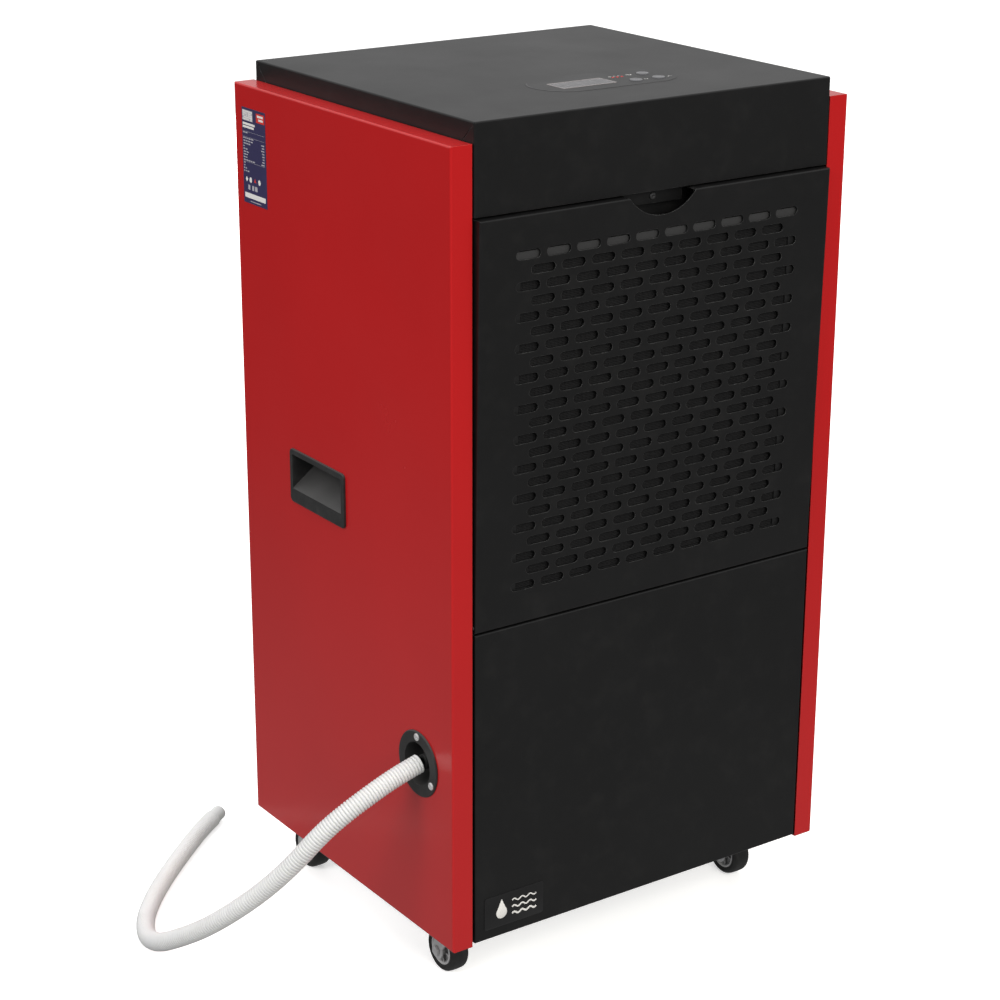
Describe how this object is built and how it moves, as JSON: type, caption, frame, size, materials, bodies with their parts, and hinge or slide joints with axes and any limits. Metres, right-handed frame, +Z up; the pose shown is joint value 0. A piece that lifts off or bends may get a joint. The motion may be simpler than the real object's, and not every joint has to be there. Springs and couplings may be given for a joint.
{
  "type": "dehumidifier",
  "caption": "Upright commercial dehumidifier on swivel castors, with a slotted inlet cover, recessed side handles, top controls and a drain hose lying on the floor.",
  "frame": {"origin": "on the floor, under the middle of the cabinet with its inlet cover shut, the drain hose left out", "axes": "+Z up, +Y from the slotted front towards the back, +X to the right of someone facing the front"},
  "size_m": [0.6923, 0.5339, 0.9154],
  "materials": {
    "black_panel": "satin black powder coat",
    "red_panel": "semi-gloss red powder coat",
    "galvanised": "galvanised sheet",
    "guard_wire": "satin black coat",
    "steel_pin": "turned steel",
    "magnet": "nickel plate",
    "overlay": "printed film",
    "window": "clear polycarbonate",
    "light": "red light pipe",
    "board": "circuit board",
    "handle_plastic": "moulded black plastic",
    "bright_screw": "zinc plate",
    "dark_screw": "blackened steel",
    "clear_tube": "silicone tube",
    "hose": "off-white corrugated plastic",
    "tray": "white plastic",
    "fins": "mill finish fins",
    "copper": "copper tube",
    "compressor_paint": "gloss black paint",
    "foot_rubber": "black rubber",
    "motor_metal": "cast aluminium",
    "fan_plastic": "black plastic",
    "gland_plastic": "black nylon",
    "label": "printed adhesive label",
    "badge": "anodised badge",
    "zinc": "bright zinc plate",
    "filter_plastic": "light grey plastic",
    "filter_cloth": "woven nylon mesh",
    "button_metal": "plated button",
    "wheel_plastic": "grey nylon",
    "tyre": "black rubber tread"
  },
  "bodies": {
    "cabinet": {"base_pan": "galvanised", "side_frame_left": "galvanised", "side_frame_right": "galvanised", "rear_panel": "black_panel", "outlet_guard": "guard_wire", "shelf": "galvanised", "front_rail": "black_panel", "hinge_rail": "black_panel", "cover_pins": "steel_pin", "cover_magnets": "magnet", "lid": "black_panel", "control_overlay": "overlay", "display_window": "window", "status_lights": "light", "control_board": "board", "lower_panel": "black_panel", "side_pan_left": "red_panel", "side_pan_right": "red_panel", "handle_left": "handle_plastic", "handle_right": "handle_plastic", "drain_bowl": "handle_plastic", "drain_screws": "bright_screw", "drain_tube": "clear_tube", "drain_hose": "hose", "hose_cuff": "hose", "drip_tray": "tray", "evaporator": "fins", "condenser": "fins", "coil_bends": "copper", "compressor": "compressor_paint", "compressor_feet": "foot_rubber", "refrigerant_pipes": "copper", "fan_shroud": "galvanised", "fan_motor": "motor_metal", "electrics_box": "galvanised", "cable_gland": "gland_plastic", "panel_screws": "dark_screw", "rating_label": "label", "nameplate": "badge", "castor_plates": "zinc", "hex_bolts": "zinc"},
    "cover": {"inlet_cover": "black_panel", "filter_frame": "filter_plastic", "filter_mesh": "filter_cloth"},
    "fan": {"fan_wheel": "fan_plastic"},
    "button_power": {"button_power": "button_metal"},
    "button_up": {"button_up": "button_metal"},
    "button_down": {"button_down": "button_metal"},
    "fork_front_left": {"castor_fork_front_left": "zinc"},
    "wheel_front_left": {"wheel_centre_front_left": "wheel_plastic", "tyre_front_left": "tyre"},
    "fork_front_right": {"castor_fork_front_right": "zinc"},
    "wheel_front_right": {"wheel_centre_front_right": "wheel_plastic", "tyre_front_right": "tyre"},
    "fork_rear_left": {"castor_fork_rear_left": "zinc"},
    "wheel_rear_left": {"wheel_centre_rear_left": "wheel_plastic", "tyre_rear_left": "tyre"},
    "fork_rear_right": {"castor_fork_rear_right": "zinc"},
    "wheel_rear_right": {"wheel_centre_rear_right": "wheel_plastic", "tyre_rear_right": "tyre"}
  },
  "joints": [
    {"name": "cover_hinge", "type": "hinge", "parent": "cabinet", "child": "cover", "pos_m": [0, -0.2052, 0.419], "axis": [1, 0, 0], "range_deg": [-1, 30]},
    {"name": "fan_spin", "type": "hinge", "parent": "cabinet", "child": "fan", "pos_m": [0, 0.1238, 0.64], "axis": [0, 1, 0], "continuous": true},
    {"name": "power_press", "type": "slide", "parent": "cabinet", "child": "button_power", "axis": [0, 0, -1], "range_m": [0, 0.0008], "stiffness_N_per_m": 800, "springref_m": -0.0003},
    {"name": "up_press", "type": "slide", "parent": "cabinet", "child": "button_up", "axis": [0, 0, -1], "range_m": [0, 0.0008], "stiffness_N_per_m": 800, "springref_m": -0.0003},
    {"name": "down_press", "type": "slide", "parent": "cabinet", "child": "button_down", "axis": [0, 0, -1], "range_m": [0, 0.0008], "stiffness_N_per_m": 800, "springref_m": -0.0003},
    {"name": "swivel_front_left", "type": "hinge", "parent": "cabinet", "child": "fork_front_left", "pos_m": [-0.191, -0.1492, 0.065], "axis": [0, 0, 1], "continuous": true},
    {"name": "roll_front_left", "type": "hinge", "parent": "fork_front_left", "child": "wheel_front_left", "pos_m": [-0.191, -0.1272, 0.025], "axis": [1, 0, 0], "continuous": true},
    {"name": "swivel_front_right", "type": "hinge", "parent": "cabinet", "child": "fork_front_right", "pos_m": [0.191, -0.1492, 0.065], "axis": [0, 0, 1], "continuous": true},
    {"name": "roll_front_right", "type": "hinge", "parent": "fork_front_right", "child": "wheel_front_right", "pos_m": [0.191, -0.1272, 0.025], "axis": [1, 0, 0], "continuous": true},
    {"name": "swivel_rear_left", "type": "hinge", "parent": "cabinet", "child": "fork_rear_left", "pos_m": [-0.191, 0.1298, 0.065], "axis": [0, 0, 1], "continuous": true},
    {"name": "roll_rear_left", "type": "hinge", "parent": "fork_rear_left", "child": "wheel_rear_left", "pos_m": [-0.191, 0.1518, 0.025], "axis": [1, 0, 0], "continuous": true},
    {"name": "swivel_rear_right", "type": "hinge", "parent": "cabinet", "child": "fork_rear_right", "pos_m": [0.191, 0.1298, 0.065], "axis": [0, 0, 1], "continuous": true},
    {"name": "roll_rear_right", "type": "hinge", "parent": "fork_rear_right", "child": "wheel_rear_right", "pos_m": [0.191, 0.1518, 0.025], "axis": [1, 0, 0], "continuous": true}
  ]
}
